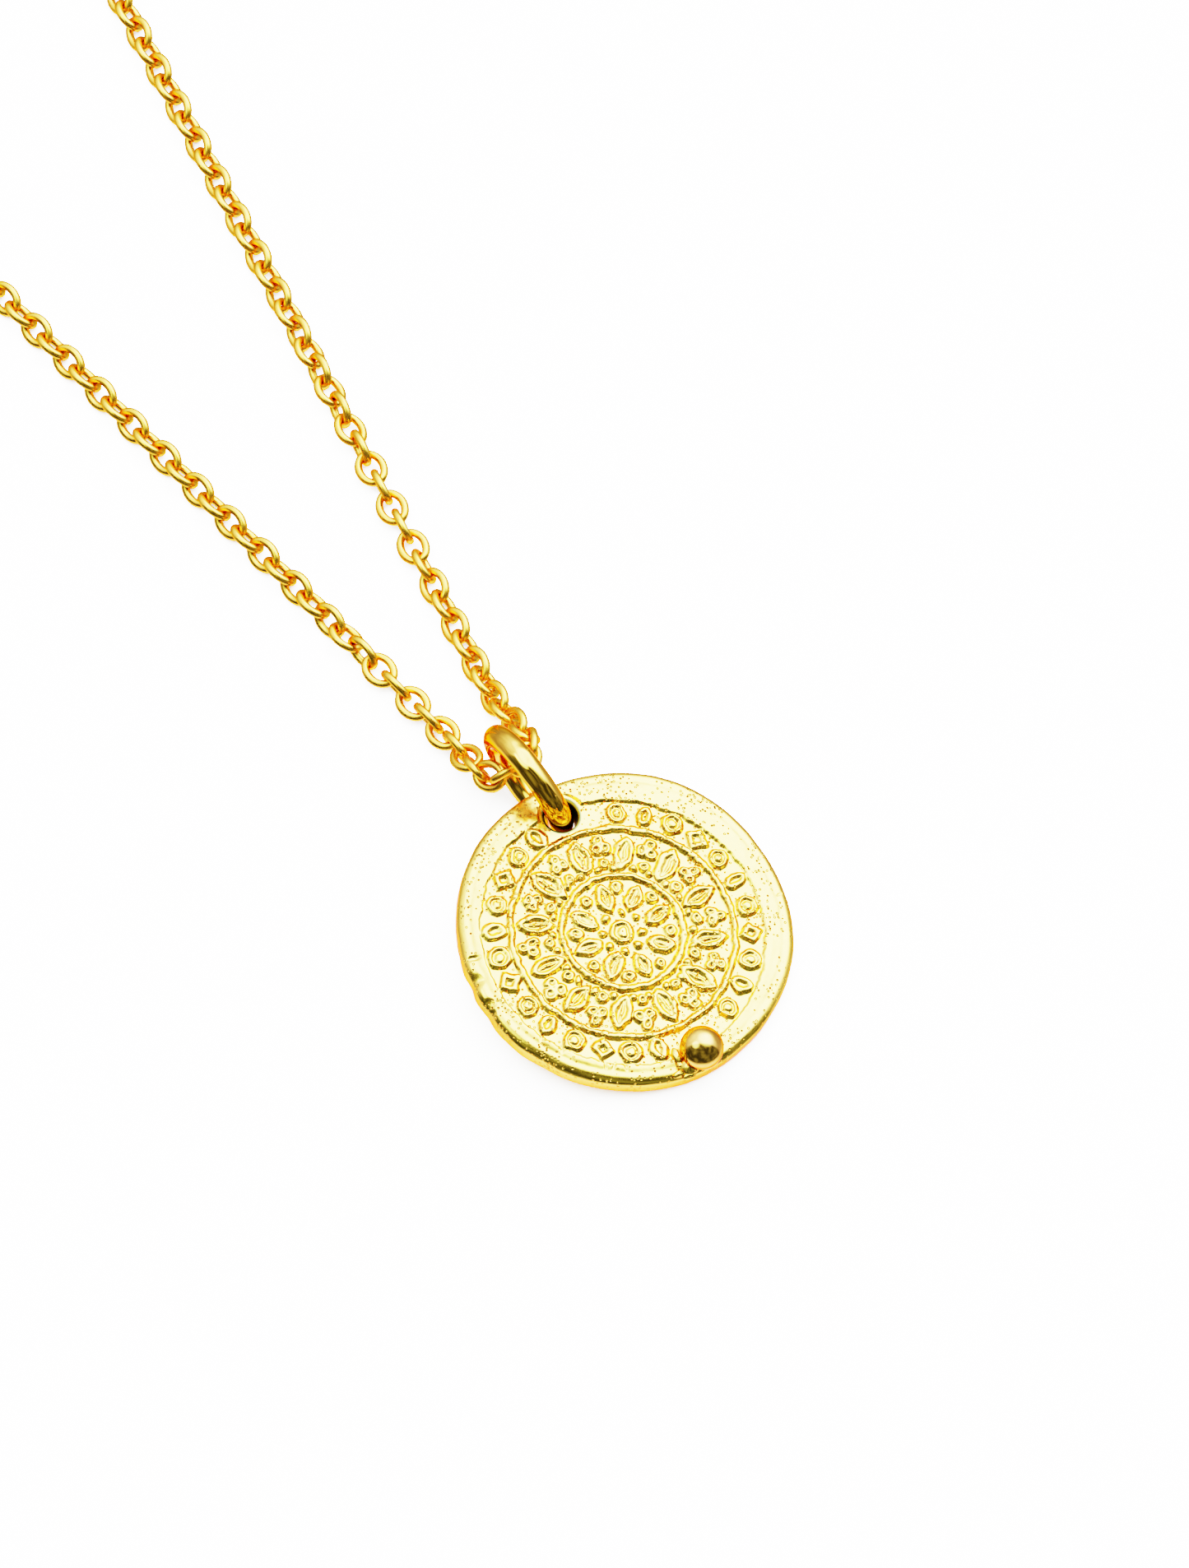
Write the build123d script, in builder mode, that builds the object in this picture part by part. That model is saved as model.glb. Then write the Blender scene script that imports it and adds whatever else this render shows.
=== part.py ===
from build123d import *
from math import asin, cos, degrees, pi, radians, sin, sqrt, tan
import os

# Cast disc pendant on a fine cable chain, lying as it comes to rest on a flat surface.
# Millimetres. +Y runs from the pendant to the clasp, +Z is up, the surface is z = 0.

# Disc, measured in its own plane with the hole at the top and +X to its right
disc_diameter = 15.0
disc_thickness = 1.25
disc_edge_round = 0.40
disc_turn = -4.0
lean_direction = -54.5
hole_diameter = 1.50
hole_edge_round = 0.15
hole_from_rim = 1.58
outline_shares = [0.994, 1.013, 1.013, 1.0, 1.004, 0.995, 0.998, 1.006, 0.999, 0.996, 0.992, 1.005]

# Raised work on the disc's face
relief_height = 0.17
relief_root = 0.10
design_shift_x = -0.28
design_shift_y = -0.20
line_width = 0.26
border_width = 1.05
belt_width = 1.45
field_width = 2.30
belt_marks = 28
field_leaves = 12
rosette_petals = 8
leaf_length = 1.70
leaf_width = 0.90
bud_length = 1.05
bud_width = 0.72
petal_length = 1.35
petal_width = 0.80
bead_diameter = 0.50
belt_bead_diameter = 0.92
lozenge_size = 1.05
boss_diameter = 1.10
mark_clearance = 0.15

# Ball granule soldered near the rim
ball_diameter = 1.94
ball_from_rim = 0.74
ball_direction = -91.0
ball_sink = 0.14
solder_foot_diameter = 1.20
solder_foot_height = 0.30

# Jump ring through the disc's hole
ring_wire = 1.11
ring_inner_diameter = 3.69
ring_direction = 3.15
ring_lean = 8.0
ring_past_hole = 2.28

# Chain of oval cable links
link_wire = 0.30
link_length = 1.90
link_width = 1.50
link_pitch = 1.15
slack_pitch = 1.01
slack_links = 8
chain_diameter = 1.15
piece_gap = 0.10

# Turn of the chain through the jump ring
turn_radius = 1.40
turn_below_level = 16.0
turn_phase = 0.60
route_steps = 1000
pitch_steps = 4

# Clasp with its eye, and the end ring that it holds
clasp_outer_diameter = 5.50
clasp_wire = 1.10
clasp_knob_diameter = 0.90
clasp_knob_reach = 0.80
eye_outer_diameter = 2.10
eye_wire = 0.45
eye_overlap = 0.40
end_ring_outer_diameter = 4.00
end_ring_wire = 0.60
end_ring_lean = 45.0
hook_gap = 0.25

# The chain's route, measured from the disc's centre with z above the surface: up the left side
# from the jump ring to the clasp, and up the right side from the jump ring to the end ring
left_strand_route = [(-0.85, 11.30, 1.35), (-0.80, 12.60, 0.80), (-1.08, 15.00, 0.65), (-7.30, 58.60, 0.65)]
left_back_route = [
    (-7.30, 58.60, 0.60), (-13.10, 99.50, 0.60), (-18.60, 141.00, 0.60), (-22.20, 171.50, 0.60),
    (-22.90, 191.00, 0.60), (-19.30, 205.50, 0.60), (-11.80, 215.60, 0.60), (-4.90, 218.80, 0.60)]
right_strand_route = [(1.85, 12.20, 1.15), (2.05, 14.00, 0.72), (2.75, 18.50, 0.65), (8.60, 58.60, 0.65)]
right_back_route = [
    (8.60, 58.60, 0.60), (14.50, 99.50, 0.60), (20.10, 141.00, 0.60), (23.80, 171.50, 0.60),
    (24.60, 191.00, 0.60), (21.10, 205.50, 0.60), (14.00, 215.40, 0.75)]

# Roll of the even links about the chain, by link number counted from the turn up the left strand
# and negative up the right one: 0 lies flat, and odd links stand square to even ones
roll_table = [
    (-50, 132), (-28, 132), (-24, 124), (-21, 112), (-19, 104), (-17, 80), (-13, 77), (-11, 52),
    (-8, 45), (-2, 45), (-1, 21), (1, 20), (2, 41), (3, 29), (4, 5), (6, 14), (10, 14), (11, -12),
    (12, -28), (14, -38), (16, -45), (50, -45)]

os.makedirs("parts", exist_ok=True)


def heading(angle):
    """Level unit vector at an angle from +X."""
    return Vector(cos(radians(angle)), sin(radians(angle)), 0)


# The ring stands nearly upright through the hole and props the disc's far side, so the disc's
# tilt follows from the height of the ring's centre and its distance from the disc's low side
up = Vector(0, 0, 1)
disc_radius = disc_diameter / 2
hole_from_centre = disc_radius - hole_from_rim
ring_radius = (ring_inner_diameter + ring_wire) / 2
ring_height = ring_radius * cos(radians(ring_lean)) + ring_wire / 2
low_azimuth = disc_turn + lean_direction
ring_along = heading(ring_direction + 90)
uphill = heading(low_azimuth + 180)
rise_reach = hole_from_centre * heading(disc_turn + 90).dot(uphill) + ring_past_hole * ring_along.dot(uphill)
disc_tilt = degrees(asin((ring_height - disc_thickness / 2) / (disc_radius + rise_reach)))

# The disc's rounded rim touches the surface on its low side
rim_drop = (disc_thickness / 2 - disc_edge_round) * cos(radians(disc_tilt)) + disc_edge_round
disc_height = rim_drop + (disc_radius - disc_edge_round) * sin(radians(disc_tilt))

# Origin: on the surface, in the middle of the whole necklace
back_points = left_back_route + right_back_route
loop_middle = (max(p[0] for p in back_points) + min(p[0] for p in back_points)) / 2
loop_far_edge = max(p[1] for p in back_points) + clasp_outer_diameter / 2
middle_shift = Vector(-loop_middle, (disc_radius - loop_far_edge) / 2, 0)
pendant_centre = middle_shift + up * disc_height

tilt_axis = Axis((0, 0, 0), heading(low_azimuth + 90))
disc_right = heading(disc_turn).rotate(tilt_axis, disc_tilt)
disc_up = up.rotate(tilt_axis, disc_tilt)
disc_plane = Plane(origin=pendant_centre, x_dir=disc_right, z_dir=disc_up)
face_plane = disc_plane.offset(disc_thickness / 2)
ball_place = heading(ball_direction) * (disc_radius - ball_from_rim)

ring_axis = heading(ring_direction) * cos(radians(ring_lean)) + up * sin(radians(ring_lean))
hole_middle = disc_plane.from_local_coords(Vector(0, hole_from_centre, 0))
ring_centre = hole_middle + ring_along * ring_past_hole
ring_centre = Vector(ring_centre.X, ring_centre.Y, ring_height)
ring_plane = Plane(origin=ring_centre, x_dir=ring_along, z_dir=ring_axis)


# The design's three lines, each measured inwards from the one outside it
border_line_radius = disc_radius - border_width
belt_line_radius = border_line_radius - belt_width
rosette_line_radius = belt_line_radius - field_width


def leaf(length, width):
    """A pointed leaf along X, centred."""
    with BuildSketch() as shape:
        with BuildLine():
            ThreePointArc((-length / 2, 0), (0, width / 2), (length / 2, 0))
            ThreePointArc((length / 2, 0), (0, -width / 2), (-length / 2, 0))
        make_face()
    return shape.sketch


def bead(diameter):
    """One round bead."""
    with BuildSketch() as shape:
        Circle(diameter / 2)
    return shape.sketch


def trefoil():
    """Three beads that touch, one of them outermost."""
    with BuildSketch() as shape:
        with PolarLocations(bead_diameter / 2, 3):
            Circle(bead_diameter / 2)
    return shape.sketch


def lozenge():
    """A square standing on its corner."""
    with BuildSketch() as shape:
        RegularPolygon(lozenge_size / 2, 4)
    return shape.sketch


def clear_places(radius, count, start, reach):
    """Locations round the design, facing outwards, that miss the hole and the ball."""
    places = []
    for number in range(count):
        angle = start + 360 * number / count
        spot = Vector(design_shift_x, design_shift_y) + heading(angle) * radius
        off_hole = (spot - Vector(0, hole_from_centre)).length - hole_diameter / 2
        off_ball = (spot - ball_place).length - ball_diameter / 2
        if min(off_hole, off_ball) > reach + mark_clearance:
            places.append(Location((spot.X, spot.Y), angle))
    return places


# Disc: a hand-cast blank of uneven outline, with its raised work and ball in one piece
with BuildPart() as pendant_disc:
    with BuildSketch(disc_plane.offset(-disc_thickness / 2)):
        with BuildLine():
            step = 360 / len(outline_shares)
            rim = [heading(step * i) * disc_radius * share for i, share in enumerate(outline_shares)]
            Spline(*rim, periodic=True)
        make_face()
    extrude(amount=disc_thickness)
    fillet(pendant_disc.edges(), disc_edge_round)
    with Locations(face_plane * Location((0, hole_from_centre, 0))):
        Hole(hole_diameter / 2)
    hole_edges = pendant_disc.edges().filter_by(GeomType.CIRCLE)
    fillet(hole_edges.filter_by(lambda edge: abs(edge.radius - hole_diameter / 2) < 0.001), hole_edge_round)
    # Raised lines round the design, with a plain patch about the hole
    with BuildSketch(face_plane.offset(-relief_root)):
        with Locations((design_shift_x, design_shift_y)):
            for radius in (border_line_radius, belt_line_radius, rosette_line_radius):
                Circle(radius + line_width / 2)
                Circle(radius - line_width / 2, mode=Mode.SUBTRACT)
            Circle(boss_diameter / 2)
        with Locations((0, hole_from_centre)):
            Circle(hole_diameter / 2 + hole_edge_round + mark_clearance, mode=Mode.SUBTRACT)
    extrude(amount=relief_root + relief_height)
    # Belt of small marks, field of leaves with beads between them, and rosette
    belt_radius = (border_line_radius + belt_line_radius) / 2
    field_radius = (belt_line_radius + rosette_line_radius) / 2
    trefoil_radius = belt_line_radius - line_width / 2 - mark_clearance - bead_diameter
    petal_radius = rosette_line_radius - line_width / 2 - mark_clearance - petal_length / 2
    field_turn = 180 / field_leaves
    belt_cycle = (
        leaf(bud_length, bud_width), bead(belt_bead_diameter), lozenge(), bead(belt_bead_diameter))
    with BuildSketch(face_plane.offset(-relief_root)):
        for place, mark in enumerate(belt_cycle):
            start = 360 * place / belt_marks
            with Locations(*clear_places(belt_radius, belt_marks // len(belt_cycle), start, bud_length / 2)):
                add(mark)
        with Locations(*clear_places(field_radius, field_leaves, 0, leaf_length / 2)):
            add(leaf(leaf_length, leaf_width))
        with Locations(*clear_places(trefoil_radius, field_leaves, field_turn, bead_diameter)):
            add(trefoil())
        with Locations(*clear_places(field_radius - bead_diameter, field_leaves, field_turn, bead_diameter)):
            add(bead(bead_diameter))
        with Locations(*clear_places(petal_radius, rosette_petals, 0, petal_length / 2)):
            add(leaf(petal_length, petal_width))
    extrude(amount=relief_root + relief_height)
    # Ball, with the foot of solder that holds it
    ball_height = disc_thickness / 2 + ball_diameter / 2 - ball_sink
    foot_height = solder_foot_height + disc_edge_round
    foot_middle = disc_thickness / 2 + solder_foot_height - foot_height / 2
    with Locations(disc_plane * Location((ball_place.X, ball_place.Y, ball_height))):
        Sphere(ball_diameter / 2)
    with Locations(disc_plane * Location((ball_place.X, ball_place.Y, foot_middle))):
        Cylinder(solder_foot_diameter / 2, foot_height)

# Jump ring, closed
with BuildPart(ring_plane) as jump_ring:
    Torus(ring_radius, ring_wire / 2)


def bend_radii(points):
    """The largest arcs that the runs of a route allow, one for each corner."""
    radii = []
    for before, corner, after in zip(points, points[1:], points[2:]):
        arriving = corner - before
        leaving = after - corner
        half_turn = radians(arriving.get_angle(leaving)) / 2
        radii.append(0.45 * min(arriving.length, leaving.length) / tan(half_turn))
    return radii


def routed(points):
    """A chosen stretch of route, moved into the part's frame."""
    return [Vector(*point) + middle_shift for point in points]


# The chain turns round the jump ring's wire on the side away from the disc
outward = ring_along * cos(radians(turn_below_level)) - ring_plane.y_dir * sin(radians(turn_below_level))
turn_middle = ring_centre + outward * (ring_radius - turn_radius)
left_corner = turn_middle - ring_axis * turn_radius
right_corner = turn_middle + ring_axis * turn_radius
front_points = routed(left_strand_route)[::-1] + [left_corner, right_corner] + routed(right_strand_route)

with BuildLine() as front_route:
    FilletPolyline(*front_points, radius=bend_radii(front_points))
front_wire = front_route.wire()


def on_route(distance):
    """The point that lies this far along the front route."""
    return front_wire.position_at(distance, position_mode=PositionMode.LENGTH)


def walk(start, direction):
    """Joints between links from a start on the route to its end, a pitch apart in a straight line."""
    joints = [on_route(start)]
    distance = start
    while True:
        number = len(joints) - 1
        pitch = slack_pitch if number < slack_links else link_pitch
        if number == 0:
            pitch = slack_pitch / 2
        ahead = distance + direction * pitch
        for _ in range(pitch_steps):
            if not 0 < ahead < front_wire.length:
                return joints
            ahead += direction * (pitch - (on_route(ahead) - joints[-1]).length)
        distance = ahead
        joints.append(on_route(distance))


def roll_of(number):
    """Roll of a link about the chain, read from the table."""
    for (low, low_roll), (high, high_roll) in zip(roll_table, roll_table[1:]):
        if low <= number <= high:
            roll = low_roll + (high_roll - low_roll) * (number - low) / (high - low)
    return roll + 90 if number % 2 else roll


half_run = (link_length - link_width) / 2
half_wide = (link_width - link_wire) / 2


def link_plane(start, end, number):
    """Where one link lies: its length along X, square to its own flat face."""
    along = (end - start).normalized()
    upright = (up - along * along.Z).normalized()
    sideways = along.cross(upright)
    roll = radians(roll_of(number))
    face = upright * cos(roll) + sideways * sin(roll)
    middle = (start + end) / 2
    edge_height = half_run * abs(along.Z) + half_wide * sqrt(1 - face.Z**2) + link_wire / 2
    return Plane(origin=(middle.X, middle.Y, max(middle.Z, edge_height)), x_dir=along, z_dir=face)


# The turn's middle, found by steps along the route, and the links counted from it
steps = [front_wire.length * i / route_steps for i in range(route_steps)]
turn_at = min(steps, key=lambda distance: (on_route(distance) - turn_middle).length)
left_joints = walk(turn_at + turn_phase, -1)
right_joints = walk(turn_at + turn_phase, 1)
joints = left_joints[:0:-1] + right_joints[1:]
first_number = len(left_joints) - 2
link_planes = [
    link_plane(start, end, first_number - i) for i, (start, end) in enumerate(zip(joints, joints[1:]))]

# One link: round wire bent to an oval and soldered shut
with BuildPart() as chain_link:
    with BuildLine():
        side = Line((-half_run, half_wide), (half_run, half_wide))
        ThreePointArc((half_run, half_wide), (half_run + half_wide, 0), (half_run, -half_wide))
        Line((half_run, -half_wide), (-half_run, -half_wide))
        ThreePointArc((-half_run, -half_wide), (-half_run - half_wide, 0), (-half_run, half_wide))
    with BuildSketch(Plane(origin=side @ 0, z_dir=side % 0)):
        Circle(link_wire / 2)
    sweep()

# The links of the two strands that run up from the pendant
with BuildPart() as chain_front:
    add([chain_link.part.moved(plane.location) for plane in link_planes])


def report_route(name, points, line):
    """Print the arcs of a route and its length."""
    radii = [round(radius, 1) for radius in bend_radii(points)]
    print(name, "radii", radii, "length", round(line.length, 2))


# Clasp: a plain closed ring with a knob and an eye, propped on the end ring that it holds
clasp_radius = (clasp_outer_diameter - clasp_wire) / 2
eye_radius = (eye_outer_diameter - eye_wire) / 2
end_ring_radius = (end_ring_outer_diameter - end_ring_wire) / 2
end_ring_height = end_ring_radius * sin(radians(end_ring_lean)) + end_ring_wire / 2
left_back_points = routed(left_back_route)
left_arrival = (left_back_points[-1] - left_back_points[-2]).normalized()
eye_middle = left_back_points[-1] + left_arrival * (piece_gap + eye_outer_diameter / 2)
eye_middle = Vector(eye_middle.X, eye_middle.Y, eye_wire / 2 + piece_gap / 2)
clasp_tilt = degrees(asin((end_ring_height - clasp_wire / 2) / (2 * clasp_radius)))
clasp_x = eye_middle.X + (eye_outer_diameter + clasp_outer_diameter) / 2 - eye_overlap
clasp_middle = Vector(clasp_x, eye_middle.Y, (end_ring_height + clasp_wire / 2) / 2)
clasp_right = Vector(cos(radians(clasp_tilt)), 0, sin(radians(clasp_tilt)))
clasp_plane = Plane(origin=clasp_middle, x_dir=clasp_right, z_dir=clasp_right.cross(Vector(0, 1, 0)))
hook_room = end_ring_radius - (end_ring_wire + clasp_wire) / 2 - hook_gap
end_ring_middle = Vector(clasp_x + clasp_radius + hook_room, eye_middle.Y, end_ring_height)

with BuildPart() as clasp:
    with Locations(clasp_plane):
        Torus(clasp_radius, clasp_wire / 2)
    with Locations(clasp_plane * Location((0, -clasp_outer_diameter / 2, 0), (90, 0, 0))):
        Cylinder(clasp_knob_diameter / 2, 2 * clasp_knob_reach)
    with Locations(Location(eye_middle)):
        Torus(eye_radius, eye_wire / 2)

# End ring, leaning through the clasp
end_ring_face = Vector(0, -sin(radians(end_ring_lean)), cos(radians(end_ring_lean)))
with BuildPart(Plane(origin=end_ring_middle, x_dir=(1, 0, 0), z_dir=end_ring_face)) as end_ring:
    Torus(end_ring_radius, end_ring_wire / 2)

# The rest of the chain, as a round bar of the chain's own thickness up each side
right_end = end_ring_middle + Vector((end_ring_outer_diameter + chain_diameter) / 2 + piece_gap, 0, 0)
right_back_points = routed(right_back_route) + [right_end]
with BuildPart() as chain_back:
    with BuildLine() as left_route:
        FilletPolyline(*left_back_points, radius=bend_radii(left_back_points))
    with BuildSketch(Plane(origin=left_route.line @ 0, z_dir=left_route.line % 0)):
        Circle(chain_diameter / 2)
    sweep(path=left_route.wire())
    with BuildLine() as right_route:
        FilletPolyline(*right_back_points, radius=bend_radii(right_back_points))
    with BuildSketch(Plane(origin=right_route.line @ 0, z_dir=right_route.line % 0)):
        Circle(chain_diameter / 2)
    sweep(path=right_route.wire())

report_route("front", front_points, front_wire)
report_route("left back", left_back_points, left_route.wire())
report_route("right back", right_back_points, right_route.wire())
back_length = left_route.wire().length + right_route.wire().length
bar_volume = back_length * pi * chain_diameter**2 / 4
print("back volume over section times length", round(chain_back.part.volume / bar_volume, 4))
print("links", len(link_planes), "disc tilt", round(disc_tilt, 2), "clasp tilt", round(clasp_tilt, 2))

pieces = {
    "pendant_disc": pendant_disc,
    "jump_ring": jump_ring,
    "chain_front": chain_front,
    "chain_back": chain_back,
    "clasp": clasp,
    "end_ring": end_ring}
for name, piece in pieces.items():
    piece.part.label = name
    export_step(piece.part, f"parts/{name}.step")
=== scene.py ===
import math
from functools import partial

import bmesh
import bpy
import numpy as np
from mathutils import Matrix, Vector


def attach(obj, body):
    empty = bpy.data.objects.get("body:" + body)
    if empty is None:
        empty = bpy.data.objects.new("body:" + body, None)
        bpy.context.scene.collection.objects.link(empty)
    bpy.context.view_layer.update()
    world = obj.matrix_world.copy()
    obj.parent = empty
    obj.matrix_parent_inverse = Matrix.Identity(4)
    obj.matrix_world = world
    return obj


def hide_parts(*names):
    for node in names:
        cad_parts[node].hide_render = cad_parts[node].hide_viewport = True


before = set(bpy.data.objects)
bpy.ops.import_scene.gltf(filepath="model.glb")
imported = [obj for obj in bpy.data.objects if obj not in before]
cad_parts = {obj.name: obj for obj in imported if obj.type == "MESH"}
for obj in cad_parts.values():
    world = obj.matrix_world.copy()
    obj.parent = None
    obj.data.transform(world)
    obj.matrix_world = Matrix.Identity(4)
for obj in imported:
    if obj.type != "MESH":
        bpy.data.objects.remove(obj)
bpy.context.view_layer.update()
mm = 0.001
print("frame loaded:", len(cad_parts), "nodes")


# helpers

def linearColor(hexCode):
    # sRGB hex as linear red, green, blue and alpha
    channels = [int(hexCode[i:i + 2], 16) / 255 for i in (1, 3, 5)]
    return tuple(c / 12.92 if c <= 0.04045 else ((c + 0.055) / 1.055) ** 2.4 for c in channels) + (1.0,)


def addNode(tree, kind, settings=None, links=None):
    # settings name the node's own properties or its inputs, links name its inputs
    node = tree.nodes.new(kind)
    for name, value in (settings or {}).items():
        if isinstance(name, str) and hasattr(node, name):
            setattr(node, name, value)
        else:
            node.inputs[name].default_value = value
    for name, source in (links or {}).items():
        tree.links.new(source, node.inputs[name])
    return node


def addObject(name, data):
    placed = bpy.data.objects.new(name, data)
    bpy.context.scene.collection.objects.link(placed)
    return placed


def newPiece(name, vertices, faces, material):
    mesh = bpy.data.meshes.new(name)
    mesh.from_pydata([tuple(v) for v in vertices], [], [tuple(f) for f in faces])
    mesh.materials.append(material)
    mesh.polygons.foreach_set("use_smooth", [True] * len(mesh.polygons))
    mesh.update()
    return addObject(name, mesh)


def heading(azimuth, climb=0):
    # the way that points to an azimuth and up by an angle, both in degrees
    level = Vector((math.cos(math.radians(azimuth)), math.sin(math.radians(azimuth)), 0))
    return level * math.cos(math.radians(climb)) + Vector((0, 0, math.sin(math.radians(climb))))


def turnFrom(angle, degrees):
    # how far each angle is from one in degrees, in radians, the short way round
    return np.mod(angle - math.radians(degrees) + math.pi, 2 * math.pi) - math.pi


def smoothStep(low, high, value):
    t = np.clip((value - low) / (high - low), 0, 1)
    return t * t * (3 - 2 * t)


handWork = dict(octaves=3, wavesEach=5, finer=1.7, weaker=1.6)


def waves(points, size, seed):
    # smooth hand-made unevenness, between about -1 and 1, from a few crossed waves
    rng = np.random.default_rng(seed)
    total = np.zeros(len(points))
    for octave in range(handWork["octaves"]):
        finer, weaker = handWork["finer"] ** octave, handWork["weaker"] ** octave
        for _ in range(handWork["wavesEach"]):
            way = rng.normal(size=points.shape[1])
            way /= np.linalg.norm(way)
            phase = rng.uniform(0, 2 * math.pi)
            total += np.sin(points @ way * 2 * math.pi * finer / size + phase) / weaker
    return total / handWork["wavesEach"]


# camera at the photograph's angle, 350 mm away; the eye is moved aside and up, in mm, so that the disc
# stands off the middle of the picture, and the clip distances are in metres

cameraView = dict(
    target=(-0.754, -106.825, 1.8), azimuth=-33.5, elevation=61.0, distance=350.0, aside=-1.268, above=6.304,
    lens=182.46, sensor=36, clip=(0.01, 20))

turn, rise = math.radians(cameraView["azimuth"]), math.radians(cameraView["elevation"])
rightWay = heading(cameraView["azimuth"])
backWay = Vector((math.sin(turn) * math.cos(rise), -math.cos(turn) * math.cos(rise), math.sin(rise)))
upWay = backWay.cross(rightWay)
eyePoint = (Vector(cameraView["target"]) + backWay * cameraView["distance"]
            + rightWay * cameraView["aside"] + upWay * cameraView["above"]) * mm
eyeAxes = Matrix((rightWay, upWay, backWay)).transposed()
camera = addObject("camera", bpy.data.cameras.new("camera"))
camera.data.lens = cameraView["lens"]
camera.data.sensor_width = cameraView["sensor"]
camera.data.clip_start, camera.data.clip_end = cameraView["clip"]
camera.matrix_world = Matrix.Translation(eyePoint) @ eyeAxes.to_4x4()
bpy.context.scene.camera = camera
print("camera placed")


# soft studio, by direction about the object: a white sweep behind and above, one large soft box behind at
# the right, a small hard one at the left, the dark room on the camera's side and the pale table below

studio = dict(
    sweepColor="#FFFFFF", sweepLow=0.60, sweepHigh=2.5, sweepTop=0.9, sweepEdge=(-0.16, 0.02),
    foldScale=1.9, foldRange=(0.35, 0.65), folds=(0.75, 1.2),
    roomColor="#E4FFDC", room=0.10, roomSpots=0.50, spotScale=2.6, spotRange=(0.45, 0.75),
    tableColor="#FFDDE0", tableTop=3.2, tableEdge=(0.42, 0.75),
    softBox=dict(azimuth=46, elevation=60, reach=(0.70, 0.98), strength=4.3),
    hardBox=dict(azimuth=196, elevation=57, reach=(0.930, 0.985), strength=3.6))


def buildStudio():
    world = bpy.data.worlds.new("studio")
    world.use_nodes = True
    tree = world.node_tree
    tree.nodes.clear()
    place = addNode(tree, "ShaderNodeTexCoord")
    # turned with the camera, so that Y runs away from it
    aimed = addNode(tree, "ShaderNodeMapping", {"Rotation": (0, 0, -turn)},
                    {"Vector": place.outputs["Generated"]})
    parts = addNode(tree, "ShaderNodeSeparateXYZ", None, {0: aimed.outputs[0]})
    # the sweep grows brighter upwards and hangs in broad folds
    climb = addNode(tree, "ShaderNodeMapRange", {
        "interpolation_type": "SMOOTHSTEP", "From Min": 0.0, "From Max": studio["sweepTop"],
        "To Min": studio["sweepLow"], "To Max": studio["sweepHigh"]}, {"Value": parts.outputs["Z"]})
    folds = addNode(tree, "ShaderNodeTexNoise", {"Scale": studio["foldScale"], "Detail": 1.0},
                    {"Vector": aimed.outputs[0]})
    fold = addNode(tree, "ShaderNodeMapRange", {
        "From Min": studio["foldRange"][0], "From Max": studio["foldRange"][1],
        "To Min": studio["folds"][0], "To Max": studio["folds"][1]}, {"Value": folds.outputs[0]})
    sheet = addNode(tree, "ShaderNodeMath", {"operation": "MULTIPLY"},
                    {0: climb.outputs[0], 1: fold.outputs[0]})
    sweep = addNode(tree, "ShaderNodeMapRange", {
        "interpolation_type": "SMOOTHSTEP", "From Min": studio["sweepEdge"][0],
        "From Max": studio["sweepEdge"][1], "To Min": 0, "To Max": 1}, {"Value": parts.outputs["Y"]})
    # the room has a few lighter things in it
    spots = addNode(tree, "ShaderNodeTexNoise", {"Scale": studio["spotScale"], "Detail": 3.0},
                    {"Vector": aimed.outputs[0]})
    room = addNode(tree, "ShaderNodeMapRange", {
        "From Min": studio["spotRange"][0], "From Max": studio["spotRange"][1],
        "To Min": studio["room"], "To Max": studio["roomSpots"]}, {"Value": spots.outputs[0]})
    level = addNode(tree, "ShaderNodeMix", {"data_type": "FLOAT"},
                    {0: sweep.outputs[0], 2: room.outputs[0], 3: sheet.outputs[0]}).outputs[0]
    for box in (studio["softBox"], studio["hardBox"]):
        near = addNode(tree, "ShaderNodeVectorMath", {
            "operation": "DOT_PRODUCT", 1: heading(box["azimuth"], box["elevation"])}, {0: aimed.outputs[0]})
        glow = addNode(tree, "ShaderNodeMapRange", {
            "interpolation_type": "SMOOTHSTEP", "From Min": box["reach"][0], "From Max": box["reach"][1],
            "To Min": 0, "To Max": box["strength"]}, {"Value": near.outputs["Value"]})
        level = addNode(tree, "ShaderNodeMath", {"operation": "ADD"},
                        {0: level, 1: glow.outputs[0]}).outputs[0]
    down = addNode(tree, "ShaderNodeMath", {"operation": "MULTIPLY", 1: -1.0}, {0: parts.outputs["Z"]})
    below = addNode(tree, "ShaderNodeMapRange", {
        "interpolation_type": "SMOOTHSTEP", "From Min": studio["tableEdge"][0],
        "From Max": studio["tableEdge"][1], "To Min": 0, "To Max": 1}, {"Value": down.outputs[0]})
    top = addNode(tree, "ShaderNodeMath", {"operation": "MULTIPLY", 1: studio["tableTop"]},
                  {0: fold.outputs[0]})
    level = addNode(tree, "ShaderNodeMix", {"data_type": "FLOAT"},
                    {0: below.outputs[0], 2: level, 3: top.outputs[0]}).outputs[0]
    # the dark room gives the gold its olive shadows, and the table its warm undersides
    upper = addNode(tree, "ShaderNodeMix", {
        "data_type": "RGBA", 6: linearColor(studio["roomColor"]), 7: linearColor(studio["sweepColor"])},
        {0: sweep.outputs[0]})
    color = addNode(tree, "ShaderNodeMix", {"data_type": "RGBA", 7: linearColor(studio["tableColor"])},
                    {0: below.outputs[0], 6: upper.outputs[2]})
    light = addNode(tree, "ShaderNodeBackground", None, {"Color": color.outputs[2], "Strength": level})
    addNode(tree, "ShaderNodeOutputWorld", None, {"Surface": light.outputs[0]})
    bpy.context.scene.world = world


buildStudio()


# white table top, with a wide lamp over it, in metres; both stay out of the metal's reflections, where the
# studio has a table of its own

table = dict(
    side=3.0, drop=0.00002, color="#F2F2F0", specular=0.1, roughness=(0.60, 0.70), grainsPerMm=0.9,
    lampSide=0.9, lampPlace=(0, -0.1, 0.8), lampWatts=95.0)


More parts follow.
